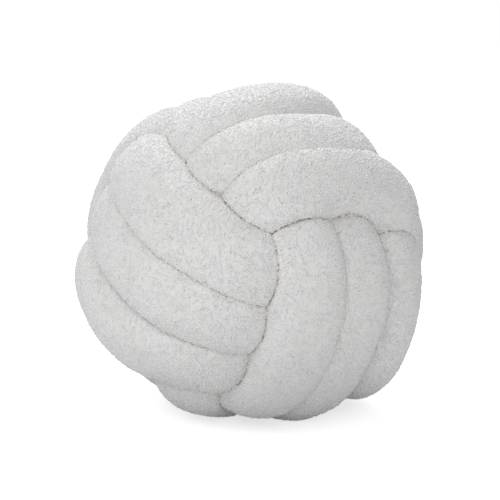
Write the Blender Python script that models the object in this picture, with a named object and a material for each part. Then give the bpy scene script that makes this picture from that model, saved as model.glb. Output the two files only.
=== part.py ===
"""Knot cushion: one long stuffed tube of curly pile cloth, tied into a ball.

The knot is a monkey's fist. The tube wraps round the ball three times in each of three directions that
stand square to each other, so every side of the ball shows three runs lying side by side. Each run ends by
diving under the outermost run of the next side, and both ends of the tube are hidden in the middle.

The route is worked out in the knot's own frame, turned to stand as the cushion stands, and given a tube.
The tube is then pressed: each section keeps to the space that is nearer to its own place on the route than
to any other, and the floor presses a small flat spot under the ball.
"""

import math

import bmesh
import bpy
import numpy as np
from mathutils import Matrix, Vector
from mathutils.bvhtree import BVHTree

# Driving dimensions, in metres.
BALL_WIDTH = 0.300
CONTACT_GAP = 0.0026
FLOOR_PRESS = 0.005

# The knot is laid out a little larger than the ball, and scaled to its width at the end.
LAID_TUBE_RADIUS = 0.0385
CORNER_REACH = 0.118

# The tube's section, and how sharply it turns where it is pressed. On the inside of a bend the tube presses
# on itself, and there a section keeps to a little less than half the way to the next one.
SQUARENESS = 2.6
ROUNDING = 12
OWN_STRETCH = 0.110
OWN_SHARE = 0.85

# The tube's mesh. A radian of bend gets as many sections as BEND_SHARE metres of straight tube.
SECTIONS = 470
BEVEL_RESOLUTION = 4
BEND_SHARE = 0.02
KNOT_POWER = 0.7
FINE_STEPS = 8
END_TAPER = 0.045
END_FACE = 0.002
RELIEF_ROUNDS = 20
RELIEF_STEP = 0.0008
RELIEF_MARGIN = 0.0002

# One quarter turn of a pass, from the crown of a run to the middle of the hidden stretch under the next
# side. Columns, in metres: outwards, along the run, and aside from the middle of the side.
MIDDLE_PASS = (
    ("crown", 0.120, 0.000, 0.000),
    ("flank", 0.113, 0.042, 0.000),
    ("shoulder", 0.086, 0.074, 0.000),
    ("under", 0.038, 0.068, 0.000),
    ("hidden", 0.000, 0.064, 0.000),
)
SIDE_PASS = (
    ("crown", 0.106, 0.000, 0.057),
    ("flank", 0.100, 0.040, 0.057),
    ("shoulder", 0.078, 0.072, 0.054),
    ("under", 0.034, 0.060, 0.038),
    ("hidden", 0.000, 0.052, 0.034),
)
STEPS_A_TURN = 16

# The runs that were pulled off their even places when the knot was tied: the wrap and the turn step of the
# run's crown, then three pulls, each at its first end, its crown and its last end, in millimetres. They are
# how far the run lies aside, how far it stands out, and how much further it reaches before it turns in.
PULLED_RUNS = (
    ("left upper", 0, 0, (4, 3, 6), (8, 8, 0), (-2, 0, 0)),
    ("left middle", 0, 16, (-13, -4, -8), (5, 0, -6), (0, 4, 2)),
    ("left lower", 0, 32, (-27, 3, 2), (7, 6, 5), (0, 0, 0)),
    ("right rear", 0, 8, (0, 8, 10), (-2, 8, 0), (-2, 0, 0)),
    ("right lower", 1, 8, (-7, 3, 10), (15, 6, -4), (26, -5, -6)),
    ("middle lower", 1, 24, (-7, 12, 16), (0, 0, 0), (3, 4, -4)),
    ("front lower", 1, 40, (-9, 0, 7), (0, 5, 2), (-7, 8, -5)),
    ("top rear", 2, -8, (12, -5, -11), (0, 0, 3), (16, 0, -11)),
    ("top middle", 2, -24, (-11, -22, 10), (-6, -2, 0), (-12, -7, 0)),
    ("top front", 2, -40, (-20, 7, 12), (-5, 4, 14), (-8, -12, 0)),
    ("foot", 2, -32, (2, 17, 11), (-6, -4, -12), (13, -8, -5)),
    ("middle foot", 2, -16, (6, 9, 0), (-18, 0, -10), (7, 2, -4)),
    ("left rear", 1, 48, (0, 0, -10), (-3, 0, 3), (-4, 4, 0)),
)
RUN_REACH_STEPS = 5
RUN_END_STEPS = 2.5

# The tube starts at the heart of the ball: its first end is tucked in there, and fills it. Places in the
# knot's own frame, in metres.
HEART_END = (
    (-0.010, 0.014, 0.010),
    (0.002, -0.010, -0.008),
    (0.019, -0.036, -0.027),
)

# How the ball lies: where the front corner of the knot points, and how the knot is rolled about it.
CORNER_ASIDE_DEG = 10.0
CORNER_UP_DEG = 15.0
CORNER_ROLL_DEG = 189.5

CLOTH_COLOUR = (0.80, 0.79, 0.77, 1.0)
CLOTH_ROUGHNESS = 0.95


def clear_scene():
    for thing in list(bpy.data.objects):
        bpy.data.objects.remove(thing, do_unlink=True)


def station(turn_step, slot):
    """The place on a pass at a step of its turn, 0 at the outward crown, in the wrap's own axes.

    slot runs from -1 to 1 across the three passes of a wrap.
    """
    angle = 2 * math.pi * turn_step / STEPS_A_TURN
    half_turn = STEPS_A_TURN // 2
    row = min(turn_step % half_turn, half_turn - turn_step % half_turn)
    _, out, along, _ = MIDDLE_PASS[row]
    _, side_out, side_along, aside = SIDE_PASS[row]
    lean = abs(slot)
    out += lean * (side_out - out)
    along += lean * (side_along - along)
    return Vector((math.copysign(out, math.cos(angle)), math.copysign(along, math.sin(angle)), slot * aside))


def pulled(place, wrap, turn_step):
    """The same place, moved as far as the run that it lies on was pulled."""
    for _, run_wrap, crown_step, *pulls in PULLED_RUNS:
        from_crown = (turn_step - crown_step) * (-1 if wrap == 2 else 1)
        if run_wrap == wrap and abs(from_crown) < RUN_REACH_STEPS:
            steps = (-RUN_REACH_STEPS, -RUN_END_STEPS, 0, RUN_END_STEPS, RUN_REACH_STEPS)
            aside, out, reach = (np.interp(from_crown, steps, (0, *pull, 0)) / 1000 for pull in pulls)
            outward = math.copysign(1, math.cos(2 * math.pi * crown_step / STEPS_A_TURN))
            onward = math.copysign(1, place.y)
            return place + Vector((outward * out, onward * reach, aside))
    return place


def wrap_stations(wrap, steps, first_slot, shifts, slot_step):
    """A wrap's stations over a range of turn steps. The tube moves over by a slot at each shift."""
    axes = ((0, 1, 2), (1, 2, 0), (2, 0, 1))[wrap]
    found = []
    for step in steps:
        passed = sum(1.0 for shift in shifts if abs(step) > shift)
        passed += sum(0.5 for shift in shifts if abs(step) == shift)
        local = pulled(station(step, first_slot + slot_step * passed), wrap, step)
        placed = Vector((0, 0, 0))
        for value, axis in zip(local, axes):
            placed[axis] = value
        found.append(placed)
    return found


def corner_turn(before, after):
    """The station where the tube turns from one wrap onto the next, on the surface of the ball."""
    return (before + after).normalized() * CORNER_REACH


def knot_stations():
    heart = [Vector(place) for place in HEART_END]
    first = wrap_stations(0, range(-3, 42), -1, (12, 28), 1)
    second = wrap_stations(1, range(7, 50), -1, (20, 36), 1)
    third = wrap_stations(2, range(1, -44, -1), 1, (12, 28), -1)
    return [
        *heart,
        *first,
        corner_turn(first[-1], second[0]),
        *second,
        corner_turn(second[-1], third[0]),
        *third,
    ]


def lengths_along(route):
    """How far each place lies along the route."""
    return np.concatenate([[0], np.cumsum(np.linalg.norm(np.diff(route, axis=0), axis=1))])


def smooth_route(stations, samples):
    """A natural cubic spline through the stations, sampled more closely where it bends."""
    points = np.array([list(p) for p in stations])
    knots = np.concatenate([[0], np.cumsum(np.linalg.norm(np.diff(points, axis=0), axis=1) ** KNOT_POWER)])
    gaps = np.diff(knots)
    count = len(points)
    system = np.eye(count)
    slopes = np.diff(points, axis=0) / gaps[:, None]
    wanted = np.zeros((count, 3))
    for i in range(1, count - 1):
        system[i, i - 1 : i + 2] = (gaps[i - 1], 2 * (gaps[i - 1] + gaps[i]), gaps[i])
        wanted[i] = 6 * (slopes[i] - slopes[i - 1])
    bends = np.linalg.solve(system, wanted)

    def at(values):
        i = np.clip(np.searchsorted(knots, values, side="right") - 1, 0, count - 2)
        gap = gaps[i][:, None]
        before = (knots[i + 1] - values)[:, None] / gap
        after = 1 - before
        straight = before * points[i] + after * points[i + 1]
        curved = (before**3 - before) * bends[i] + (after**3 - after) * bends[i + 1]
        return straight + curved * gap**2 / 6

    fine = np.linspace(0, knots[-1], samples * FINE_STEPS)
    places = at(fine)
    headings = np.diff(places, axis=0)
    headings /= np.linalg.norm(headings, axis=1)[:, None]
    turned = np.concatenate([[0, 0], np.arccos(np.clip((headings[1:] * headings[:-1]).sum(1), -1, 1))])
    effort = lengths_along(places) + BEND_SHARE * np.cumsum(turned)
    return at(np.interp(np.linspace(0, effort[-1], samples), effort, fine))


def lay_of_knot():
    """The turn from the knot's own frame to the frame in which the cushion stands, front to -Y."""
    flat = math.sqrt(2 / 3)
    deep = math.sqrt(1 / 3)
    sides = []
    for third in range(3):
        angle = math.radians(CORNER_ROLL_DEG + 120 * third)
        sides.append(Vector((flat * math.cos(angle), -deep, flat * math.sin(angle))))
    left, lower, top = sides
    facing = Matrix((left, -lower, -top)).transposed()
    up = Matrix.Rotation(math.radians(-CORNER_UP_DEG), 3, "X")
    aside = Matrix.Rotation(math.radians(CORNER_ASIDE_DEG), 3, "Z")
    return aside @ up @ facing


def laid_route(samples):
    """The tube's centreline as the cushion stands, with the ball's middle at the origin."""
    route = smooth_route(knot_stations(), samples) @ np.array(lay_of_knot()).T
    return route


def end_taper(route):
    """The share of the tube's radius at each section: whole, but for the round closed ends."""
    along = lengths_along(route)
    from_end = np.minimum(along, along[-1] - along) + END_FACE
    return np.sqrt(1 - (1 - np.minimum(1, from_end / END_TAPER)) ** 2)


def ring_of_each_point(count, rings):
    """The tube's points come ring by ring, after the caps' own copies of the last ring and the first."""
    sides = count // (rings + 2)
    ring = np.arange(count) // sides - 2
    ring[:sides] = rings - 1
    ring[sides : 2 * sides] = 0
    return ring


def weld_caps(mesh):
    """Joins each cap to its ring, so that the tube is one closed skin."""
    skin = bmesh.new()
    skin.from_mesh(mesh)
    bmesh.ops.remove_doubles(skin, verts=skin.verts, dist=0.00001)
    bmesh.ops.recalc_face_normals(skin, faces=skin.faces)
    skin.to_mesh(mesh)
    skin.free()


def round_tube(name, route):
    """The tube before it is pressed, as a closed mesh that knows the ring of each point."""
    curve = bpy.data.curves.new(name + "_guide", "CURVE")
    curve.dimensions = "3D"
    curve.bevel_depth = LAID_TUBE_RADIUS
    curve.bevel_resolution = BEVEL_RESOLUTION
    curve.use_fill_caps = True
    spline = curve.splines.new("POLY")
    spline.points.add(len(route) - 1)
    for point, place, share in zip(spline.points, route, end_taper(route)):
        point.co = (*place, 1.0)
        point.radius = share
    guide = bpy.data.objects.new(name + "_guide", curve)
    bpy.context.scene.collection.objects.link(guide)
    graph = bpy.context.evaluated_depsgraph_get()
    mesh = bpy.data.meshes.new_from_object(guide.evaluated_get(graph))
    mesh.name = name
    bpy.data.objects.remove(guide, do_unlink=True)
    rings = mesh.attributes.new("ring", "INT", "POINT")
    rings.data.foreach_set("value", ring_of_each_point(len(mesh.vertices), len(route)))
    weld_caps(mesh)
    return mesh


def section_axes(route):
    """At each section, the way out of the ball and the way aside, both square to the tube."""
    along = np.gradient(route, axis=0)
    along /= np.linalg.norm(along, axis=1)[:, None]
    out = route - (route * along).sum(1)[:, None] * along
    out /= np.linalg.norm(out, axis=1)[:, None]
    return out, np.cross(along, out)


def pressed_points(points, ring, route):
    """Where the round tube's points go once each section gives way to whatever lies against it."""
    reach = points - route[ring]
    radius = np.linalg.norm(reach, axis=1)
    way = reach / radius[:, None]
    out, aside = section_axes(route)
    upward = np.abs((way * out[ring]).sum(1))
    sideways = np.abs((way * aside[ring]).sum(1))
    radius *= (upward**SQUARENESS + sideways**SQUARENESS) ** (-1 / SQUARENESS)
    along = lengths_along(route)
    for i, place in enumerate(route):
        mine = ring == i
        others = np.delete(route, i, axis=0) - place
        from_here = np.abs(np.delete(along, i) - along[i])
        room = (others**2).sum(1) / 2
        room[from_here < OWN_STRETCH] *= OWN_SHARE
        ahead = way[mine] @ others.T
        room = np.where(ahead > 1e-6, room / np.maximum(ahead, 1e-6), 1.0).min(1) - CONTACT_GAP / 2
        radius[mine] = (radius[mine] ** -ROUNDING + room**-ROUNDING) ** (-1 / ROUNDING)
    return route[ring] + way * radius[:, None]


def crossing_points(points, faces):
    """The points of the faces that pass through faces they don't share a corner with."""
    tree = BVHTree.FromPolygons(points.tolist(), faces)
    found = set()
    for one, other in tree.overlap(tree):
        if not set(faces[one]) & set(faces[other]):
            found.update(faces[one])
    return sorted(found)


def relieved_points(points, ring, route, faces):
    """Draws points in until no flat facet cuts across the curved face where two passes meet."""
    for _ in range(RELIEF_ROUNDS):
        reach = points - route[ring]
        way = reach / np.linalg.norm(reach, axis=1)[:, None]
        crossing = crossing_points(points + way * RELIEF_MARGIN, faces)
        if not crossing:
            break
        points[crossing] -= way[crossing] * RELIEF_STEP
    return points


def set_down(points):
    """Scales the knot to the ball's width, stands it on the floor and lets the floor press it flat."""
    low = points.min(0)
    high = points.max(0)
    middle = (low + high) / 2
    points = (points - middle) * BALL_WIDTH / (high - low)[0]
    points[:, 2] -= points[:, 2].min() + FLOOR_PRESS
    points[:, 2] = np.maximum(points[:, 2], 0)
    return points


def pile_cloth():
    cloth = bpy.data.materials.new("curly_pile_cloth")
    cloth.use_nodes = True
    shader = cloth.node_tree.nodes["Principled BSDF"]
    shader.inputs["Base Color"].default_value = CLOTH_COLOUR
    shader.inputs["Roughness"].default_value = CLOTH_ROUGHNESS
    shader.inputs["Metallic"].default_value = 0.0
    return cloth


def knotted_tube(collection):
    route = laid_route(SECTIONS)
    mesh = round_tube("knotted_tube", route)
    count = len(mesh.vertices)
    points = np.empty(count * 3)
    mesh.vertices.foreach_get("co", points)
    ring = np.empty(count, dtype=int)
    mesh.attributes["ring"].data.foreach_get("value", ring)
    mesh.attributes.remove(mesh.attributes["ring"])
    points = pressed_points(points.reshape(-1, 3), ring, route)
    faces = [tuple(face.vertices) for face in mesh.polygons]
    points = relieved_points(points, ring, route, faces)
    mesh.vertices.foreach_set("co", set_down(points).ravel())
    mesh.shade_smooth()
    mesh.materials.append(pile_cloth())
    tube = bpy.data.objects.new("knotted_tube", mesh)
    collection.objects.link(tube)


def main():
    clear_scene()
    collection = bpy.data.collections.new("knot_cushion")
    bpy.context.scene.collection.children.link(collection)
    knotted_tube(collection)


main()
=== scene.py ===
# %% [markdown]
# # A knot cushion in curly pile cloth
#
# The real cushion is one long stuffed tube of off-white curly pile, tied into a ball. This lesson dresses
# the plain solid of that tube: a camera and soft light first, then the stuffed tube with its creases, then
# the pile that stands on it, and last the cloth's material.

import math

import bmesh
import bpy
import numpy as np
from mathutils import Matrix, Vector, noise
from mathutils.bvhtree import BVHTree


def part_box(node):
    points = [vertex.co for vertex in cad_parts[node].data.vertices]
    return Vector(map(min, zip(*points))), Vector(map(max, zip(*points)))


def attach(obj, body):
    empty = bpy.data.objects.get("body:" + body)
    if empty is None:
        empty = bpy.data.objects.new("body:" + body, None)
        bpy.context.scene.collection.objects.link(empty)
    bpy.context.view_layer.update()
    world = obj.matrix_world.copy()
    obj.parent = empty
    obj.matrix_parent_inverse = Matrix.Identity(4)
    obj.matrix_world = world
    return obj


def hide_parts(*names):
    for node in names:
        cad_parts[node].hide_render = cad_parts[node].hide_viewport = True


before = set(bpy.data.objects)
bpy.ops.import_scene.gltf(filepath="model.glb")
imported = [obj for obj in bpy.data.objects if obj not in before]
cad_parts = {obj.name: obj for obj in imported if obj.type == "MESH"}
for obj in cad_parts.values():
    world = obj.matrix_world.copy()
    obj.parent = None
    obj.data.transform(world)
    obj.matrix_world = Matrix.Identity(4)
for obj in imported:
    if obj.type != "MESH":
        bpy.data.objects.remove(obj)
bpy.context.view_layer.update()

# %% [markdown]
# ## The camera
#
# The cushion is seen from a little above, about level with its top, and fills most of the picture. A long
# lens from 1.6 m keeps the near runs from swelling, as in the photograph. The camera is set once, with an
# aim point on the ball's middle.

# %% Camera
CAMERA_DISTANCE = 1.6
CAMERA_ABOVE_DEG = 12.0
CAMERA_AIM = Vector((0, 0, 0.1372))
LENS_MM = 134.0
SENSOR_MM = 36.0

above = math.radians(CAMERA_ABOVE_DEG)
towards_camera = Vector((0, -math.cos(above), math.sin(above)))
lens = bpy.data.cameras.new("camera")
lens.lens = LENS_MM
lens.sensor_width = SENSOR_MM
camera = bpy.data.objects.new("camera", lens)
bpy.context.scene.collection.objects.link(camera)
camera.location = CAMERA_AIM + CAMERA_DISTANCE * towards_camera
camera.rotation_euler = towards_camera.to_track_quat("Z", "Y").to_euler()
bpy.context.scene.camera = camera
print("camera at", [round(v, 3) for v in camera.location])

# %% [markdown]
# ## A helper for nodes
#
# Worlds, materials and scatters are all trees of nodes in Blender. Adding a node takes the same lines each
# time: its kind, its settings, and for each input a plain value or a link from another node. So one helper
# does that, and the steps below say only what is special about each node.

# %% A node with its inputs
def add_node(tree, kind, inputs=None, **settings):
    """A new node with its settings. Each input gets a value, or a link if it is another node's output."""
    node = tree.nodes.new(kind)
    for name, value in settings.items():
        setattr(node, name, value)
    for socket, value in (inputs or {}).items():
        if hasattr(value, "is_output"):
            tree.links.new(value, node.inputs[socket])
        else:
            node.inputs[socket].default_value = value
    return node


def seen_or_lit(tree, lit, seen, output_name):
    """Ends a tree in two shaders: the camera sees one, and all other light comes from the other."""
    ray_kind = add_node(tree, "ShaderNodeLightPath")
    choice = {0: ray_kind.outputs["Is Camera Ray"], 1: lit.outputs[0], 2: seen.outputs[0]}
    mix = add_node(tree, "ShaderNodeMixShader", choice)
    tree.links.new(mix.outputs[0], tree.nodes[output_name].inputs["Surface"])

# %% [markdown]
# ## Light and floor
#
# The photograph is a bright studio shot on white. A white world gives the light from all round. The camera
# sees that world brighter than the cushion does, which is what a lit backdrop behind an object does, and the
# Light Path node tells the two apart.

# %% World
BACKDROP_WHITE = 1.05
ROUND_LIGHT = 0.45
WHITE = (1.0, 1.0, 1.0, 1.0)

world = bpy.data.worlds.new("studio")
world.use_nodes = True
round_light = world.node_tree.nodes["Background"]
round_light.inputs["Color"].default_value = WHITE
round_light.inputs["Strength"].default_value = ROUND_LIGHT
white_backdrop = {"Color": WHITE, "Strength": BACKDROP_WHITE}
backdrop = add_node(world.node_tree, "ShaderNodeBackground", white_backdrop)
seen_or_lit(world.node_tree, round_light, backdrop, "World Output")
bpy.context.scene.world = world
bpy.context.scene.view_settings.view_transform = "Standard"
print("round light", ROUND_LIGHT, "and backdrop", BACKDROP_WHITE)

# %% [markdown]
# Three large soft lamps give the direction, as softboxes do in a studio: one from the upper left, one low at
# the camera's side, and a strong one from above and behind, which edges the top runs with light. Their
# strengths were fitted to the tones of the photographed runs. Small lamps would throw hard shadows into the
# creases, and the photograph has none.

# %% Lamps
LAMP_SIZE = 1.2
LAMP_DISTANCE = 2.0


def soft_lamp(name, azimuth_deg, height_deg, power):
    """A square soft lamp that faces the middle of the ball. Azimuth 0 is the camera's side, 90 its right."""
    azimuth, height = math.radians(azimuth_deg), math.radians(height_deg)
    level = math.cos(height)
    way = Vector((math.sin(azimuth) * level, -math.cos(azimuth) * level, math.sin(height)))
    light = bpy.data.lights.new(name, "AREA")
    light.size = LAMP_SIZE
    light.energy = power
    lamp = bpy.data.objects.new(name, light)
    bpy.context.scene.collection.objects.link(lamp)
    lamp.location = CAMERA_AIM + LAMP_DISTANCE * way
    lamp.rotation_euler = way.to_track_quat("Z", "Y").to_euler()
    return lamp


for lamp in (
    soft_lamp("upper_left_lamp", -45, 45, 9.0),
    soft_lamp("camera_side_lamp", 0, 15, 7.6),
    soft_lamp("rear_top_lamp", 180, 50, 34.0),
):
    print(lamp.name, "at", [round(v, 2) for v in lamp.location], lamp.data.energy, "W")

# %% [markdown]
# The floor is a sheet of white paper, so wide that its edge isn't seen. Paper in the studio is lit until it
# is pure white in the picture, but a floor as bright as that would light the cushion too strongly from below.
# So the paper has a glow which only the camera sees.

# %% Floor
FLOOR_SIZE = 24.0
PAPER_WHITE = (0.80, 0.80, 0.80, 1.0)
PAPER_GLOW = 0.65

floor_form = bmesh.new()
bmesh.ops.create_grid(floor_form, x_segments=1, y_segments=1, size=FLOOR_SIZE / 2)
floor_mesh = bpy.data.meshes.new("floor")
floor_form.to_mesh(floor_mesh)
floor_form.free()
floor = bpy.data.objects.new("floor", floor_mesh)
bpy.context.scene.collection.objects.link(floor)
paper = bpy.data.materials.new("pale_paper")
paper.use_nodes = True
plain_paper = paper.node_tree.nodes["Principled BSDF"]
plain_paper.inputs["Base Color"].default_value = PAPER_WHITE
plain_paper.inputs["Roughness"].default_value = 1.0
plain_paper.inputs["Specular IOR Level"].default_value = 0.0
glow = add_node(paper.node_tree, "ShaderNodeEmission", {"Strength": PAPER_GLOW})
both = {0: plain_paper.outputs[0], 1: glow.outputs[0]}
glowing_paper = add_node(paper.node_tree, "ShaderNodeAddShader", both)
seen_or_lit(paper.node_tree, plain_paper, glowing_paper, "Material Output")
floor_mesh.materials.append(paper)
print("floor:", FLOOR_SIZE, "m wide")

# %% [markdown]
# ## The way the tube runs
#
# The knot is a monkey's fist with three passes in each of three directions. One quarter turn of a pass is a
# short table of places, and every other place follows from it by turning and mirroring. The places are the
# same as in the solid's own source, so the dressed tube lies exactly where the solid lies.

# %% Stations on one pass
STEPS_A_TURN = 16
MIDDLE_PASS = (
    ("crown", 0.120, 0.000, 0.000),
    ("flank", 0.113, 0.042, 0.000),
    ("shoulder", 0.086, 0.074, 0.000),
    ("under", 0.038, 0.068, 0.000),
    ("hidden", 0.000, 0.064, 0.000),
)
SIDE_PASS = (
    ("crown", 0.106, 0.000, 0.057),
    ("flank", 0.100, 0.040, 0.057),
    ("shoulder", 0.078, 0.072, 0.054),
    ("under", 0.034, 0.060, 0.038),
    ("hidden", 0.000, 0.052, 0.034),
)


def station(turn_step, slot):
    """A place on a pass, 0 at the outward crown; slot runs from -1 to 1 across the wrap's three passes."""
    angle = 2 * math.pi * turn_step / STEPS_A_TURN
    half_turn = STEPS_A_TURN // 2
    row = min(turn_step % half_turn, half_turn - turn_step % half_turn)
    _, out, along, _ = MIDDLE_PASS[row]
    _, side_out, side_along, aside = SIDE_PASS[row]
    lean = abs(slot)
    out += lean * (side_out - out)
    along += lean * (side_along - along)
    return Vector((math.copysign(out, math.cos(angle)), math.copysign(along, math.sin(angle)), slot * aside))

# %% [markdown]
# A tied knot is never even. Each run here was pulled a few millimetres aside, outwards or further along when
# it was tied, and the table says how far at its first end, its crown and its last end.

# %% Pulled runs
PULLED_RUNS = (
    ("left upper", 0, 0, (4, 3, 6), (8, 8, 0), (-2, 0, 0)),
    ("left middle", 0, 16, (-13, -4, -8), (5, 0, -6), (0, 4, 2)),
    ("left lower", 0, 32, (-27, 3, 2), (7, 6, 5), (0, 0, 0)),
    ("right rear", 0, 8, (0, 8, 10), (-2, 8, 0), (-2, 0, 0)),
    ("right lower", 1, 8, (-7, 3, 10), (15, 6, -4), (26, -5, -6)),
    ("middle lower", 1, 24, (-7, 12, 16), (0, 0, 0), (3, 4, -4)),
    ("front lower", 1, 40, (-9, 0, 7), (0, 5, 2), (-7, 8, -5)),
    ("top rear", 2, -8, (12, -5, -11), (0, 0, 3), (16, 0, -11)),
    ("top middle", 2, -24, (-11, -22, 10), (-6, -2, 0), (-12, -7, 0)),
    ("top front", 2, -40, (-20, 7, 12), (-5, 4, 14), (-8, -12, 0)),
    ("foot", 2, -32, (2, 17, 11), (-6, -4, -12), (13, -8, -5)),
    ("middle foot", 2, -16, (6, 9, 0), (-18, 0, -10), (7, 2, -4)),
    ("left rear", 1, 48, (0, 0, -10), (-3, 0, 3), (-4, 4, 0)),
)
RUN_REACH_STEPS = 5
RUN_END_STEPS = 2.5


def pulled(place, wrap, turn_step):
    """The same place, moved as far as the run that it lies on was pulled."""
    for _, run_wrap, crown_step, *pulls in PULLED_RUNS:
        from_crown = (turn_step - crown_step) * (-1 if wrap == 2 else 1)
        if run_wrap == wrap and abs(from_crown) < RUN_REACH_STEPS:
            steps = (-RUN_REACH_STEPS, -RUN_END_STEPS, 0, RUN_END_STEPS, RUN_REACH_STEPS)
            aside, out, reach = (np.interp(from_crown, steps, (0, *pull, 0)) / 1000 for pull in pulls)
            outward = math.copysign(1, math.cos(2 * math.pi * crown_step / STEPS_A_TURN))
            onward = math.copysign(1, place.y)
            return place + Vector((outward * out, onward * reach, aside))
    return place

# %% [markdown]
# The three wraps follow each other in one tube. Between turns the tube moves over by one slot inside the
# ball, and two corner turns lead it from one wrap to the next. It starts with an end tucked into the heart.

# %% All stations
CORNER_REACH = 0.118
HEART_END = (
    (-0.010, 0.014, 0.010),
    (0.002, -0.010, -0.008),
    (0.019, -0.036, -0.027),
)


def wrap_stations(wrap, steps, first_slot, shifts, slot_step):
    """A wrap's stations over a range of turn steps. The tube moves over by a slot at each shift."""
    axes = ((0, 1, 2), (1, 2, 0), (2, 0, 1))[wrap]
    found = []
    for step in steps:
        passed = sum(1.0 for shift in shifts if abs(step) > shift)
        passed += sum(0.5 for shift in shifts if abs(step) == shift)
        local = pulled(station(step, first_slot + slot_step * passed), wrap, step)
        placed = Vector((0, 0, 0))
        for value, axis in zip(local, axes):
            placed[axis] = value
        found.append(placed)
    return found


def corner_turn(before, after):
    return (before + after).normalized() * CORNER_REACH


first_wrap = wrap_stations(0, range(-3, 42), -1, (12, 28), 1)
second_wrap = wrap_stations(1, range(7, 50), -1, (20, 36), 1)
third_wrap = wrap_stations(2, range(1, -44, -1), 1, (12, 28), -1)
knot_stations = [Vector(place) for place in HEART_END] + first_wrap
knot_stations += [corner_turn(first_wrap[-1], second_wrap[0])] + second_wrap
knot_stations += [corner_turn(second_wrap[-1], third_wrap[0])] + third_wrap
print("stations on the tube's route:", len(knot_stations))

# %% [markdown]
# A natural cubic spline joins the stations into one smooth line. It is sampled more closely where the tube
# bends, so that the rings of the tube stay close enough there.

# %% Smooth centreline
KNOT_POWER = 0.7
FINE_STEPS = 8
BEND_SHARE = 0.02


def lengths_along(route):
    return np.concatenate([[0], np.cumsum(np.linalg.norm(np.diff(route, axis=0), axis=1))])


def smooth_route(stations, samples):
    """A natural cubic spline through the stations, sampled more closely where it bends."""
    points = np.array([list(p) for p in stations])
    knots = np.concatenate([[0], np.cumsum(np.linalg.norm(np.diff(points, axis=0), axis=1) ** KNOT_POWER)])
    gaps = np.diff(knots)
    count = len(points)
    system = np.eye(count)
    slopes = np.diff(points, axis=0) / gaps[:, None]
    wanted = np.zeros((count, 3))
    for i in range(1, count - 1):
        system[i, i - 1 : i + 2] = (gaps[i - 1], 2 * (gaps[i - 1] + gaps[i]), gaps[i])
        wanted[i] = 6 * (slopes[i] - slopes[i - 1])
    bends = np.linalg.solve(system, wanted)

    def at(values):
        i = np.clip(np.searchsorted(knots, values, side="right") - 1, 0, count - 2)
        gap = gaps[i][:, None]
        before = (knots[i + 1] - values)[:, None] / gap
        after = 1 - before
        straight = before * points[i] + after * points[i + 1]
        curved = (before**3 - before) * bends[i] + (after**3 - after) * bends[i + 1]
        return straight + curved * gap**2 / 6

    fine = np.linspace(0, knots[-1], samples * FINE_STEPS)
    places = at(fine)
    headings = np.diff(places, axis=0)
    headings /= np.linalg.norm(headings, axis=1)[:, None]
    turned = np.concatenate([[0, 0], np.arccos(np.clip((headings[1:] * headings[:-1]).sum(1), -1, 1))])
    effort = lengths_along(places) + BEND_SHARE * np.cumsum(turned)
    return at(np.interp(np.linspace(0, effort[-1], samples), effort, fine))

# %% [markdown]
# The knot's own frame has its three directions along the axes. The whole knot is turned until its front
# corner, where three sides meet, looks where the photographed one looks.

# %% The way the knot stands
CORNER_ASIDE_DEG = 10.0
CORNER_UP_DEG = 15.0
CORNER_ROLL_DEG = 189.5


def lay_of_knot():
    """The turn from the knot's own frame to the frame in which the cushion stands, front to -Y."""
    flat = math.sqrt(2 / 3)
    deep = math.sqrt(1 / 3)
    sides = []
    for third in range(3):
        angle = math.radians(CORNER_ROLL_DEG + 120 * third)
        sides.append(Vector((flat * math.cos(angle), -deep, flat * math.sin(angle))))
    left, lower, top = sides
    facing = Matrix((left, -lower, -top)).transposed()
    up = Matrix.Rotation(math.radians(-CORNER_UP_DEG), 3, "X")
    aside = Matrix.Rotation(math.radians(CORNER_ASIDE_DEG), 3, "Z")
    return aside @ up @ facing

# %% [markdown]
# ## The stuffed tube
#
# A tube is easiest as a curve with a round bevel. It is turned into a mesh at once, because the stuffing and
# the pressing work on its points. Each point keeps the number of the ring that it belongs to in an
# attribute, which is how the later steps know which stretch of the tube they work on. Blender puts the
# points of the two end caps before those of the rings, so the numbers start two rings late.

# %% Round tube
TUBE_RADIUS = 0.0400
RINGS = 520
RING_SIDES = 22
END_TAPER = 0.045
END_FACE = 0.002
MERGE_DISTANCE = 0.00001

route = smooth_route(knot_stations, RINGS) @ np.array(lay_of_knot()).T
route_lengths = lengths_along(route)


def round_tube(name):
    """The closed round tube round the route, with a ring number on each point."""
    from_end = np.minimum(route_lengths, route_lengths[-1] - route_lengths) + END_FACE
    share = np.sqrt(1 - (1 - np.minimum(1, from_end / END_TAPER)) ** 2)
    curve = bpy.data.curves.new(name + "_guide", "CURVE")
    curve.dimensions = "3D"
    curve.bevel_depth = TUBE_RADIUS
    curve.bevel_resolution = (RING_SIDES - 4) // 2
    curve.use_fill_caps = True
    spline = curve.splines.new("POLY")
    spline.points.add(RINGS - 1)
    for point, place, radius in zip(spline.points, route, share):
        point.co = (*place, 1.0)
        point.radius = radius
    guide = bpy.data.objects.new(name + "_guide", curve)
    bpy.context.scene.collection.objects.link(guide)
    graph = bpy.context.evaluated_depsgraph_get()
    mesh = bpy.data.meshes.new_from_object(guide.evaluated_get(graph))
    mesh.name = name
    bpy.data.objects.remove(guide, do_unlink=True)
    rings = np.arange(len(mesh.vertices)) // RING_SIDES - 2
    rings[:RING_SIDES] = RINGS - 1
    rings[RING_SIDES : 2 * RING_SIDES] = 0
    mesh.attributes.new("ring", "FLOAT", "POINT").data.foreach_set("value", rings.astype(float))
    skin = bmesh.new()
    skin.from_mesh(mesh)
    bmesh.ops.remove_doubles(skin, verts=skin.verts, dist=MERGE_DISTANCE)
    bmesh.ops.recalc_face_normals(skin, faces=skin.faces)
    skin.to_mesh(mesh)
    skin.free()
    return mesh


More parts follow.
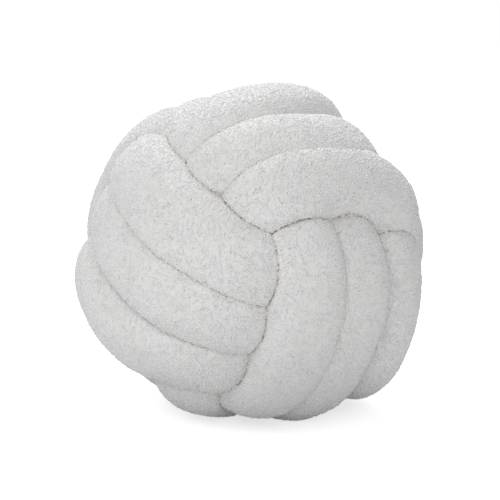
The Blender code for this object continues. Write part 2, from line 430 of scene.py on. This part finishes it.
tube_mesh = round_tube("stuffed_tube")
print("tube points:", len(tube_mesh.vertices), "length in the lay, m:", round(route_lengths[-1], 2))

# %% [markdown]
# The next steps move many thousands of points at once, which is quick in numpy. Three helpers read a mesh's
# points and attributes as numpy arrays and write the points back.

# %% Points as numbers
def points_of(mesh):
    flat = np.empty(len(mesh.vertices) * 3)
    mesh.vertices.foreach_get("co", flat)
    return flat.reshape(-1, 3)


def values_of(mesh, name):
    values = np.empty(len(mesh.vertices))
    mesh.attributes[name].data.foreach_get("value", values)
    return values


def set_points(mesh, points):
    mesh.vertices.foreach_set("co", points.ravel())
    mesh.update()


print("rings on the tube:", len(set(values_of(tube_mesh, "ring"))))

# %% [markdown]
# A stuffed tube that lies in a row with its neighbours isn't round. Its section is a little fuller in the
# corners, so each ring's points are moved out there.

# %% Fuller sections
SQUARENESS = 2.7


def middles_of(ring):
    """The place on the centreline that each ring number stands for, fractions included."""
    low = np.clip(ring.astype(int), 0, RINGS - 2)
    part = (ring - low)[:, None]
    return route[low] * (1 - part) + route[low + 1] * part


def section_axes():
    """At each ring, the way out of the ball and the way aside, both square to the tube."""
    along = np.gradient(route, axis=0)
    along /= np.linalg.norm(along, axis=1)[:, None]
    out = route - (route * along).sum(1)[:, None] * along
    out /= np.linalg.norm(out, axis=1)[:, None]
    return out, np.cross(along, out)


def squared(points, ring):
    """The round section made a little fuller in its corners."""
    out, aside = section_axes()
    nearest = np.clip(np.rint(ring).astype(int), 0, RINGS - 1)
    middle = middles_of(ring)
    reach = points - middle
    radius = np.linalg.norm(reach, axis=1)
    way = reach / radius[:, None]
    upward = np.abs((way * out[nearest]).sum(1))
    sideways = np.abs((way * aside[nearest]).sum(1))
    radius *= (upward**SQUARENESS + sideways**SQUARENESS) ** (-1 / SQUARENESS)
    return middle + way * radius[:, None]


set_points(tube_mesh, squared(points_of(tube_mesh), values_of(tube_mesh, "ring")))

# %% [markdown]
# ## Stuffing
#
# The stuffing is simulated as a cushion is: the tube starts a little thin, and Blender's Cloth blows it up
# with pressure and no gravity, so the cloth is tight on the outside of each bend and crumples a little on
# the inside. The passes don't meet in the simulation, because their places are worked out in the next step,
# so the cloth may move two millimetres at most. Remeshing with voxels, which often comes first, would weld
# passes that touch, so the tube keeps its own even mesh of rings.

# %% Cloth simulation
STUFFING_ROOM = 0.0010
STUFFING_PRESSURE = 4.0
STUFFING_FRAMES = 20
THINNEST_SHARE = 0.5
CLOTH_QUALITY = 5
MOST_MOVE = 0.002


def stuffed(mesh):
    """The tube's points after its cloth was blown up, none of them moved further than MOST_MOVE."""
    ring = values_of(mesh, "ring")
    middle = middles_of(ring)
    start = points_of(mesh)
    reach = start - middle
    radius = np.linalg.norm(reach, axis=1)[:, None]
    thin = middle + reach * np.maximum(THINNEST_SHARE, 1 - STUFFING_ROOM / radius)
    cloth_mesh = mesh.copy()
    set_points(cloth_mesh, thin)
    sack = bpy.data.objects.new("stuffing_guide", cloth_mesh)
    bpy.context.scene.collection.objects.link(sack)
    cloth = sack.modifiers.new("stuffing", "CLOTH")
    cloth.settings.quality = CLOTH_QUALITY
    cloth.settings.use_pressure = True
    cloth.settings.uniform_pressure_force = STUFFING_PRESSURE
    cloth.settings.effector_weights.gravity = 0
    cloth.collision_settings.use_collision = False
    cloth.point_cache.frame_start = 1
    cloth.point_cache.frame_end = STUFFING_FRAMES
    for frame_number in range(1, STUFFING_FRAMES + 1):
        bpy.context.scene.frame_set(frame_number)
    graph = bpy.context.evaluated_depsgraph_get()
    blown = points_of(sack.evaluated_get(graph).data)
    bpy.data.objects.remove(sack, do_unlink=True)
    bpy.data.meshes.remove(cloth_mesh)
    bpy.context.scene.frame_set(1)
    moved = blown - thin
    length = np.linalg.norm(moved, axis=1)[:, None]
    moved *= np.minimum(1, MOST_MOVE / np.maximum(length, 1e-9))
    print("stuffing moved the cloth, mm:", [round(float(v) * 1000, 2) for v in (length.mean(), length.max())])
    return thin + moved


set_points(tube_mesh, stuffed(tube_mesh))

# %% [markdown]
# One level of Subdivision Surface rounds the facets. Stuffing is never even, so low lumps are added then:
# broad ones of about a millimetre, where the filling is thick or thin, and smaller ones on top.

# %% Smooth, lumpy stuffing
LUMPS = ((0.045, 0.0011), (0.020, 0.0006))

smooth = bpy.data.objects.new("smooth_guide", tube_mesh)
bpy.context.scene.collection.objects.link(smooth)
finer = smooth.modifiers.new("finer", "SUBSURF")
finer.levels = 1
finer.render_levels = 1
graph = bpy.context.evaluated_depsgraph_get()
skin_mesh = bpy.data.meshes.new_from_object(smooth.evaluated_get(graph))
skin_mesh.name = "pile_cloth_tube"
bpy.data.objects.remove(smooth, do_unlink=True)


def lumpy(points, ring):
    """The points moved in and out from the centreline by smooth noise."""
    middle = middles_of(ring)
    reach = points - middle
    way = reach / np.linalg.norm(reach, axis=1)[:, None]
    lift = np.zeros(len(points))
    for size, height in LUMPS:
        lift += height * np.array([noise.noise(Vector(p) / size) for p in points])
    return points + way * lift[:, None]


set_points(skin_mesh, lumpy(points_of(skin_mesh), values_of(skin_mesh, "ring")))
print("smooth tube:", len(skin_mesh.polygons), "faces")

# %% [markdown]
# ## Creases
#
# Where two passes press on each other, the cloth meets halfway between them, and a thin crease shows. So
# each point keeps to the space that is nearer to its own middle than to any other stretch of the tube. The
# higher CRISPNESS is, the more sharply the tube turns into its creases.

# %% Press the passes together
CRISPNESS = 34
CONTACT_GAP = 0.0005
OWN_STRETCH = 0.110
OWN_NEAR = 0.045
OWN_SHARE = 0.85


def pressed(points, ring):
    """Keeps each point in its own stretch's space."""
    middle = middles_of(ring)
    reach = points - middle
    radius = np.linalg.norm(reach, axis=1)
    way = reach / radius[:, None]
    order = np.argsort(ring, kind="stable")
    starts = np.flatnonzero(np.concatenate([[True], np.diff(ring[order]) > 1e-4]))
    for mine in np.split(order, starts[1:]):
        place = middle[mine[0]]
        here = np.interp(ring[mine[0]], np.arange(RINGS), route_lengths)
        from_here = np.abs(route_lengths - here)
        others = route - place
        half_way = (others**2).sum(1) / 2
        half_way[from_here < OWN_STRETCH] *= OWN_SHARE
        ahead = way[mine] @ others.T
        usable = (ahead > 1e-6) & (from_here > OWN_NEAR)
        room = np.where(usable, half_way / np.where(usable, ahead, 1), 1.0).min(1) - CONTACT_GAP / 2
        radius[mine] = (radius[mine] ** -CRISPNESS + room**-CRISPNESS) ** (-1 / CRISPNESS)
    return middle + way * radius[:, None]

# %% [markdown]
# Only a fifth of the cloth shows: the rest lies inside the ball. One value per point tells all later steps
# how open the surface is there. Rays go out from it, and the share that leaves the ball without meeting
# cloth again is the openness, from 0 deep in the knot to 1 on a free crown.

# %% Openness of the surface
OPEN_REACH = 0.4
OPEN_START = 0.0002
LEAST_FACING = 0.05


def even_directions(count):
    """Directions spread evenly over a sphere, on a golden spiral."""
    turn = math.pi * (3 - math.sqrt(5))
    found = []
    for i in range(count):
        height = 1 - 2 * (i + 0.5) / count
        flat = math.sqrt(1 - height * height)
        found.append(Vector((flat * math.cos(turn * i), flat * math.sin(turn * i), height)))
    return found


def openness(mesh, rays, wanted):
    """The openness of the wanted points. The others are hidden, and count as closed."""
    tree = BVHTree.FromPolygons([v.co for v in mesh.vertices], [tuple(f.vertices) for f in mesh.polygons])
    directions = even_directions(2 * rays)
    found = np.zeros(len(mesh.vertices))
    for i in np.flatnonzero(wanted):
        vertex = mesh.vertices[i]
        normal = vertex.normal
        start = vertex.co + normal * OPEN_START
        seen = 0.0
        total = 0.0
        for direction in directions:
            facing = normal.dot(direction)
            if facing > LEAST_FACING:
                total += facing
                if tree.ray_cast(start, direction, OPEN_REACH)[0] is None:
                    seen += facing
        found[i] = seen / total
    return found

# %% [markdown]
# A crease needs small faces, and hidden cloth doesn't. So the free tube is cut finer in two rounds: first
# where it shows, then along the creases. It is pressed only after the cuts, because a cut face's new points
# would lie across the crease and not in it.

# %% Finer faces where the cloth shows
FINER_ROUNDS = ((0.06, 1.01), (0.06, 0.60))
ROUGH_RAYS = 10


def pressed_copy(mesh):
    copy = mesh.copy()
    set_points(copy, pressed(points_of(mesh), values_of(mesh, "ring")))
    return copy


def cut_finer(mesh, low, high):
    """Halves the edges of the faces that are between low and high open."""
    trial = pressed_copy(mesh)
    share = openness(trial, ROUGH_RAYS, values_of(mesh, "open") > low / 2)
    bpy.data.meshes.remove(trial)
    mesh.attributes["open"].data.foreach_set("value", share)
    form = bmesh.new()
    form.from_mesh(mesh)
    form.verts.ensure_lookup_table()
    chosen = set()
    for face in form.faces:
        values = [share[v.index] for v in face.verts]
        if max(values) > low and min(values) < high:
            chosen.update(face.edges)
    bmesh.ops.subdivide_edges(form, edges=list(chosen), cuts=1, use_grid_fill=True)
    form.to_mesh(mesh)
    form.free()
    triangles = sum(len(f.vertices) - 2 for f in mesh.polygons)
    print("cut finer:", len(mesh.polygons), "faces,", triangles, "triangles")


skin_mesh.attributes.new("open", "FLOAT", "POINT").data.foreach_set("value", np.ones(len(skin_mesh.vertices)))
for low, high in FINER_ROUNDS:
    cut_finer(skin_mesh, low, high)

# %% [markdown]
# ## Size and floor
#
# The solid was laid out a little large and scaled to its width, so the dressed tube is scaled the same way,
# to the box of the solid. The pile stands on the cloth, so the cloth itself is PILE_STAND smaller all round.
# The floor presses a small flat spot under the ball.

# %% Stand the tube where the solid stands
PILE_STAND = 0.0006
FLOOR_PRESS = 0.005
FLOOR_TOUCH = 0.0004
FINE_RAYS = 24
SURELY_HIDDEN = 0.02

solid_low, solid_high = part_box("knotted_tube")


def set_down(points):
    """Scales and places the knot so that it fills the solid's box and rests on the floor."""
    low, high = points.min(0), points.max(0)
    points = (points - (low + high) / 2) * (solid_high.x - solid_low.x - 2 * PILE_STAND) / (high - low)[0]
    points[:, 2] -= points[:, 2].min() + FLOOR_PRESS
    points[:, 2] = np.maximum(points[:, 2], 0)
    return points


set_points(skin_mesh, set_down(pressed(points_of(skin_mesh), values_of(skin_mesh, "ring"))))
skin_mesh.shade_smooth()
skin = bpy.data.objects.new("pile_cloth_tube", skin_mesh)
bpy.context.scene.collection.objects.link(skin)
open_share = openness(skin_mesh, FINE_RAYS, values_of(skin_mesh, "open") > SURELY_HIDDEN)
open_share[points_of(skin_mesh)[:, 2] < FLOOR_TOUCH] = 0.0
skin_mesh.attributes["open"].data.foreach_set("value", open_share)
print("cloth tube, mm:", [round(v * 1000, 1) for v in np.ptp(points_of(skin_mesh), axis=0)])
print("mean openness:", round(float(open_share.mean()), 2))

# %% [markdown]
# ## The pile
#
# Curly pile is thousands of small loops of yarn, about four millimetres long and two wide, lying every way.
# One loop is a short arch with both ends in the cloth: a five-sided bead, drawn out and bent. Its attribute
# "tip" is 0 at its foot and 1 at its top, so that the material can paint shade down in the pile, darker
# towards the foot. Such a loop has only ten faces, because tens of thousands of it are needed.

# %% One loop of yarn
LOOP_LENGTH = 0.0044
LOOP_WIDTH = 0.0022
LOOP_HEIGHT = 0.0021
LOOP_ARCH = 0.35

loop_form = bmesh.new()
bmesh.ops.create_uvsphere(loop_form, u_segments=5, v_segments=2, radius=0.5)
lying = Matrix.Rotation(math.pi / 2, 3, "Y")
bmesh.ops.rotate(loop_form, verts=loop_form.verts, cent=(0, 0, 0), matrix=lying)
bmesh.ops.scale(loop_form, verts=loop_form.verts, vec=(LOOP_LENGTH, LOOP_WIDTH, LOOP_HEIGHT))
for vertex in loop_form.verts:
    vertex.co.z -= LOOP_ARCH * LOOP_HEIGHT * (2 * vertex.co.x / LOOP_LENGTH) ** 2
bmesh.ops.recalc_face_normals(loop_form, faces=loop_form.faces)
loop_mesh = bpy.data.meshes.new("yarn_loop")
loop_form.to_mesh(loop_mesh)
loop_form.free()
loop_mesh.shade_smooth()
loop_tips = [min(1.0, max(0.0, 0.5 + v.co.z / LOOP_HEIGHT)) for v in loop_mesh.vertices]
loop_mesh.attributes.new("tip", "FLOAT", "POINT").data.foreach_set("value", loop_tips)
loop = bpy.data.objects.new("yarn_loop", loop_mesh)
print("one loop:", len(loop_mesh.polygons), "triangles")

# %% [markdown]
# The pile is one cloth, but as one mesh it would be too heavy. So it is made in six pieces, one for each side
# of the knot, and every face of the tube gets the number of the side that it looks out from.

# %% The sides of the knot
knot_turn = np.array(lay_of_knot())
SIDE_NAMES = ("left", "rear_right", "lower_rear", "lower", "foot", "top")


def side_of_each_face(mesh):
    """0 to 5: the side of the knot that a face looks out from, by its place round the ball's middle."""
    centres = np.array([f.center for f in mesh.polygons])
    middle = (centres.min(0) + centres.max(0)) / 2
    in_knot = (centres - middle) @ knot_turn
    axis = np.abs(in_knot).argmax(1)
    sign = in_knot[np.arange(len(axis)), axis] < 0
    return axis * 2 + sign


skin_mesh.attributes.new("side", "INT", "FACE").data.foreach_set("value", side_of_each_face(skin_mesh))

# %% [markdown]
# Geometry Nodes scatters the loops over the part of the cloth that shows. Poisson distances keep them evenly
# close, as knitted pile is. Two small helpers come first, because ranges and vector sums are needed often.

# %% Where the loops stand
LOOP_SPACING = 0.0016
LOOP_CROWDING = 1.2
LOOP_SEED = 7
OPEN_FOR_FIRST_LOOPS = 0.001
OPEN_FOR_ALL_LOOPS = 0.012


def mapped(tree, value, low, high, to_low=0.0, to_high=1.0, kind="LINEAR"):
    """A value taken from one range to another, and kept inside it."""
    limits = {"Value": value, "From Min": low, "From Max": high, "To Min": to_low, "To Max": to_high}
    return add_node(tree, "ShaderNodeMapRange", limits, interpolation_type=kind).outputs["Result"]


def vector_maths(tree, operation, inputs):
    return add_node(tree, "ShaderNodeVectorMath", inputs, operation=operation).outputs[0]


def standing_points(group, cloth, side_number, open_share):
    """Points at even distances on the shown cloth of one side of the knot."""
    side = add_node(group, "GeometryNodeInputNamedAttribute", {"Name": "side"}, data_type="INT")
    same = {2: side.outputs["Attribute"], 3: side_number}
    on_side = add_node(group, "FunctionNodeCompare", same, data_type="INT", operation="EQUAL")
    spread = {
        "Mesh": cloth,
        "Selection": on_side.outputs["Result"],
        "Distance Min": LOOP_SPACING,
        "Density Max": LOOP_CROWDING / LOOP_SPACING**2,
        "Density Factor": mapped(group, open_share, OPEN_FOR_FIRST_LOOPS, OPEN_FOR_ALL_LOOPS),
        "Seed": LOOP_SEED,
    }
    return add_node(group, "GeometryNodeDistributePointsOnFaces", spread, distribute_method="POISSON")

# %% [markdown]
# Curly pile isn't a flat layer. A noise moves the loops a little in and out, so they gather in curls of about
# three millimetres. Along a crease the pile of two passes is squeezed out of the groove and bridges it, so
# the loops there are moved outwards, away from the ball's middle.

# %% Curls and creases
CURL_SIZE = 0.003
CURL_STAND = 0.0007
CURL_NOISE_RANGE = (0.25, 0.75)
CREASE_LIFT = 0.0030
OPEN_WITHOUT_LIFT = 0.12
BALL_MIDDLE = (0, 0, 0.14)


def curled_points(group, points, open_share):
    """The points moved in and out with the curls, and outwards along the creases."""
    curls = add_node(group, "ShaderNodeTexNoise", {"Scale": 1 / CURL_SIZE, "Detail": 0.0})
    stand = mapped(group, curls.outputs[0], *CURL_NOISE_RANGE, -CURL_STAND / 2, CURL_STAND / 2)
    raised = vector_maths(group, "SCALE", {0: points.outputs["Normal"], "Scale": stand})
    place = add_node(group, "GeometryNodeInputPosition").outputs[0]
    from_middle = vector_maths(group, "SUBTRACT", {0: place, 1: BALL_MIDDLE})
    outward = vector_maths(group, "NORMALIZE", {0: from_middle})
    lift = mapped(group, open_share, 0.0, OPEN_WITHOUT_LIFT, CREASE_LIFT, 0.0)
    lifted = vector_maths(group, "SCALE", {0: outward, "Scale": lift})
    offset = vector_maths(group, "ADD", {0: raised, 1: lifted})
    moves = {"Geometry": points.outputs["Points"], "Offset": offset}
    return add_node(group, "GeometryNodeSetPosition", moves).outputs["Geometry"]

# %% [markdown]
# No two loops lie alike. Each is turned at random round the cloth's normal, leaned a little, and made longer,
# wider or higher than the next, and in the creases all of them are fuller. A random "tone" from 0 to 1 stays
# on each loop, so that the material can make some yarn whiter. The copies are made real at the end, so the
# pile is ordinary mesh.

# %% Loops on the points
MOST_TURN = (0.45, 0.3, math.pi)
SMALLEST_LOOP = (0.75, 0.8, 0.7)
LARGEST_LOOP = (1.25, 1.25, 1.4)
CREASE_LOOPS = 1.3
OPEN_FOR_PLAIN_LOOPS = 0.2


def laid_loops(group, points, places, open_share):
    """A loop on each point, turned and sized at random, with its tone."""
    between = {0: tuple(-angle for angle in MOST_TURN), 1: MOST_TURN}
    turn = add_node(group, "FunctionNodeRandomValue", between, data_type="FLOAT_VECTOR")
    turns = {0: points.outputs["Rotation"], 1: turn.outputs[0]}
    rotate = add_node(group, "FunctionNodeRotateRotation", turns, rotation_space="LOCAL")
    between = {0: SMALLEST_LOOP, 1: LARGEST_LOOP}
    size = add_node(group, "FunctionNodeRandomValue", between, data_type="FLOAT_VECTOR")
    fuller = mapped(group, open_share, 0.0, OPEN_FOR_PLAIN_LOOPS, CREASE_LOOPS, 1.0)
    yarn = add_node(group, "GeometryNodeObjectInfo", {"Object": loop})
    laid = {
        "Points": places,
        "Instance": yarn.outputs["Geometry"],
        "Rotation": rotate.outputs[0],
        "Scale": vector_maths(group, "SCALE", {0: size.outputs[0], "Scale": fuller}),
    }
    lay = add_node(group, "GeometryNodeInstanceOnPoints", laid)
    tone = add_node(group, "FunctionNodeRandomValue", data_type="FLOAT")
    toned = {
        "Name": "tone",
        "Geometry": lay.outputs["Instances"],
        "Value": next(socket for socket in tone.outputs if socket.enabled),
    }
    kinds = {"domain": "INSTANCE", "data_type": "FLOAT"}
    kept = add_node(group, "GeometryNodeStoreNamedAttribute", toned, **kinds)
    return add_node(group, "GeometryNodeRealizeInstances", {"Geometry": kept.outputs["Geometry"]})

# %% [markdown]
# The steps together are one node group with the side's number as its input. It is laid on a copy of the cloth
# tube once for each side, and only its result is kept. Loops that would reach under the floor are flattened
# on it, as the cushion's weight does.

# %% Scatter the loops
def pile_nodes():
    """The whole scatter, from the cloth to the pile of one side."""
    group = bpy.data.node_groups.new("pile_of_loops", "GeometryNodeTree")
    group.interface.new_socket("Geometry", in_out="INPUT", socket_type="NodeSocketGeometry")
    group.interface.new_socket("Side", in_out="INPUT", socket_type="NodeSocketInt")
    group.interface.new_socket("Geometry", in_out="OUTPUT", socket_type="NodeSocketGeometry")
    entry = group.nodes.new("NodeGroupInput").outputs
    shown = add_node(group, "GeometryNodeInputNamedAttribute", {"Name": "open"}, data_type="FLOAT")
    open_share = shown.outputs["Attribute"]
    points = standing_points(group, entry["Geometry"], entry["Side"], open_share)
    places = curled_points(group, points, open_share)
    pile = laid_loops(group, points, places, open_share)
    add_node(group, "NodeGroupOutput", {"Geometry": pile.outputs["Geometry"]})
    return group


pile_group = pile_nodes()
pile_pieces = []
for side_number, side_name in enumerate(SIDE_NAMES):
    sower = bpy.data.objects.new("sower", skin_mesh)
    bpy.context.scene.collection.objects.link(sower)
    scatter = sower.modifiers.new("pile", "NODES")
    scatter.node_group = pile_group
    scatter["Socket_1"] = side_number
    graph = bpy.context.evaluated_depsgraph_get()
    pile_mesh = bpy.data.meshes.new_from_object(sower.evaluated_get(graph))
    bpy.data.objects.remove(sower, do_unlink=True)
    pile_mesh.name = "pile_" + side_name
    pile_points = points_of(pile_mesh)
    pile_points[:, 2] = np.maximum(pile_points[:, 2], 0)
    set_points(pile_mesh, pile_points)
    pile_mesh.shade_smooth()
    pile = bpy.data.objects.new("pile_" + side_name, pile_mesh)
    bpy.context.scene.collection.objects.link(pile)
    pile_pieces.append(pile)
    print(pile.name, len(pile_mesh.polygons), "triangles", [a.name for a in pile_mesh.attributes])

# %% [markdown]
# ## The cloth's material
#
# The pile's colour holds painted light and shade. The tips of the loops are the whitest, their feet have a
# darker white, painted shade for the shade of the other loops, and down in the creases a warm white is
# painted bounce light, for light that has bounced from cloth to cloth. The ground cloth between the loops
# needs the same three colours. So the shade is one node group with the colours as its inputs, and the two
# materials each use it with their own values. It reads the attributes that the steps above left on the mesh:
# "open", "tip" and "tone".

# %% The pile's shade
PILE_SHADE_SOCKETS = (
    ("Tip Colour", "INPUT", "NodeSocketColor"),
    ("Painted Foot Shade", "INPUT", "NodeSocketColor"),
    ("Painted Crease Bounce", "INPUT", "NodeSocketColor"),
    ("Loop Unevenness", "INPUT", "NodeSocketFloat"),
    ("Colour", "OUTPUT", "NodeSocketColor"),
    ("Roughness", "OUTPUT", "NodeSocketFloat"),
    ("Curl Height", "OUTPUT", "NodeSocketFloat"),
)
# Painted shade fades out from a loop's foot up to this height, where the tip white is reached.
TIP_WHITE_FROM = 0.9
# Over this range of openness the painted warm bounce light of the creases fades into the rest of the shade.
PAINTED_BOUNCE_OPENNESS = (0.04, 0.50)
PATCHES_A_METRE = 70.0
PATCH_DARKEST = 0.975
CURLS_A_METRE = 900.0
CURL_TWIST = 1.5
NOISE_RANGE = (0.3, 0.7)
ROUGHNESS_RANGE = (0.98, 0.86)

# %% [markdown]
# The group reads the three attributes, and two noises on Object coordinates: a broad one for patches a
# little less white, and a fine one for the curl of single fibres.

# %% The shade's nodes
def pile_shade_group():
    """Colour, roughness and fine curl of the pile: painted shade towards a loop's foot, painted warm bounce
    light deep in a crease.
    """
    group = bpy.data.node_groups.new("pile_shade", "ShaderNodeTree")
    for name, way, kind in PILE_SHADE_SOCKETS:
        group.interface.new_socket(name, in_out=way, socket_type=kind)
    given = group.nodes.new("NodeGroupInput").outputs
    place = add_node(group, "ShaderNodeTexCoord").outputs["Object"]

    def reading(name):
        return add_node(group, "ShaderNodeAttribute", attribute_name=name).outputs["Fac"]

    def ramp(value, low, high, *to_range):
        return mapped(group, value, low, high, *to_range, kind="SMOOTHSTEP")

    def blend(factor, first, second):
        colours = {0: factor, 6: first, 7: second}
        return add_node(group, "ShaderNodeMix", colours, data_type="RGBA", clamp_factor=True).outputs[2]

    def noise_at(scale, twist=0.0):
        look = {"Vector": place, "Scale": scale, "Detail": 2.0, "Distortion": twist}
        return add_node(group, "ShaderNodeTexNoise", look).outputs["Fac"]

    # Painted shade: the loop is darker towards its foot, for the shade that the other loops cast there.
    height = blend(ramp(reading("tip"), 0.0, TIP_WHITE_FROM), given["Painted Foot Shade"], given["Tip Colour"])
    less = {0: 1.0, 1: given["Loop Unevenness"]}
    dullest = add_node(group, "ShaderNodeMath", less, operation="SUBTRACT").outputs[0]
    uneven = mapped(group, reading("tone"), 0.0, 1.0, dullest)
    loops = vector_maths(group, "SCALE", {0: height, "Scale": uneven})
    patches = ramp(noise_at(PATCHES_A_METRE), *NOISE_RANGE, PATCH_DARKEST, 1.0)
    mottled = vector_maths(group, "SCALE", {0: loops, "Scale": patches})
    # Painted bounce light: a warm white where the cloth is closed, deep in the creases, for light bounced
    # from cloth to cloth.
    colour = blend(ramp(reading("open"), *PAINTED_BOUNCE_OPENNESS), given["Painted Crease Bounce"], mottled)
    curls = noise_at(CURLS_A_METRE, CURL_TWIST)
    results = {
        "Colour": colour,
        "Roughness": ramp(curls, *NOISE_RANGE, *ROUGHNESS_RANGE),
        "Curl Height": curls,
    }
    add_node(group, "NodeGroupOutput", results)
    return group


pile_shade = pile_shade_group()
print("pile_shade:", len(pile_shade.nodes), "nodes")

# %% [markdown]
# A material holds the shader itself, and takes colour, roughness and bump from the shade. Values that are the
# same all over the cloth are set on the shader. Wool and cotton pile have no gloss, so the specular level is
# low, and the bump is finer than one loop, because the loops are real.

# %% A pile material
SPECULAR = 0.2
SHEEN_ROUGHNESS = 0.6
BUMP_STRENGTH = 0.5
BUMP_HEIGHT = 0.0003


def pile_material(name, tip, foot, crease, unevenness, sheen):
    material = bpy.data.materials.new(name)
    material.use_nodes = True
    tree = material.node_tree
    colours = {"Tip Colour": (*tip, 1.0), "Painted Foot Shade": (*foot, 1.0), "Painted Crease Bounce": (*crease, 1.0)}
    values = {**colours, "Loop Unevenness": unevenness}
    shade = add_node(tree, "ShaderNodeGroup", values, node_tree=pile_shade).outputs
    relief = {"Strength": BUMP_STRENGTH, "Distance": BUMP_HEIGHT, "Height": shade["Curl Height"]}
    bump = add_node(tree, "ShaderNodeBump", relief)
    shader = tree.nodes["Principled BSDF"]
    shader.inputs["Specular IOR Level"].default_value = SPECULAR
    shader.inputs["Sheen Weight"].default_value = sheen
    shader.inputs["Sheen Roughness"].default_value = SHEEN_ROUGHNESS
    tree.links.new(shade["Colour"], shader.inputs["Base Color"])
    tree.links.new(shade["Roughness"], shader.inputs["Roughness"])
    tree.links.new(bump.outputs["Normal"], shader.inputs["Normal"])
    return material

# %% [markdown]
# The loops of yarn get the full shade, with painted shade at their feet and painted warm bounce light in the
# creases, and a little sheen, which is the light that loose fibre catches at the edges. The ground cloth is
# plain: one white for tip and foot, and painted warm bounce light in the creases.

# %% Pile and ground cloth
TIP_WHITE = (0.87, 0.87, 0.87)
# Painted shade: the darker white at the feet of the loops.
FOOT_PAINTED_SHADE = (0.72, 0.715, 0.71)
GROUND_WHITE = (0.82, 0.812, 0.805)
# Painted bounce light: the warm whites of the creases, on the loops and on the ground cloth.
CREASE_PAINTED_BOUNCE = (0.93, 0.84, 0.77)
GROUND_CREASE_PAINTED_BOUNCE = (0.93, 0.80, 0.71)
YARN_UNEVENNESS = 0.06
YARN_SHEEN = 0.15

yarn = (TIP_WHITE, FOOT_PAINTED_SHADE, CREASE_PAINTED_BOUNCE, YARN_UNEVENNESS, YARN_SHEEN)
ground = (GROUND_WHITE, GROUND_WHITE, GROUND_CREASE_PAINTED_BOUNCE, 0.0, 0.0)
pile_cloth = pile_material("off_white_curly_pile", *yarn)
ground_cloth = pile_material("ground_of_the_pile", *ground)
for piece in [skin, *pile_pieces]:
    piece.data.materials.clear()
    piece.data.materials.append(ground_cloth if piece is skin else pile_cloth)
print("materials:", pile_cloth.name, ground_cloth.name)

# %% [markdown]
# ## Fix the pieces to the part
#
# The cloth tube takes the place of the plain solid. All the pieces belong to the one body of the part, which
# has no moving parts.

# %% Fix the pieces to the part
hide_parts("knotted_tube")
for piece in [skin, *pile_pieces]:
    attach(piece, "root")
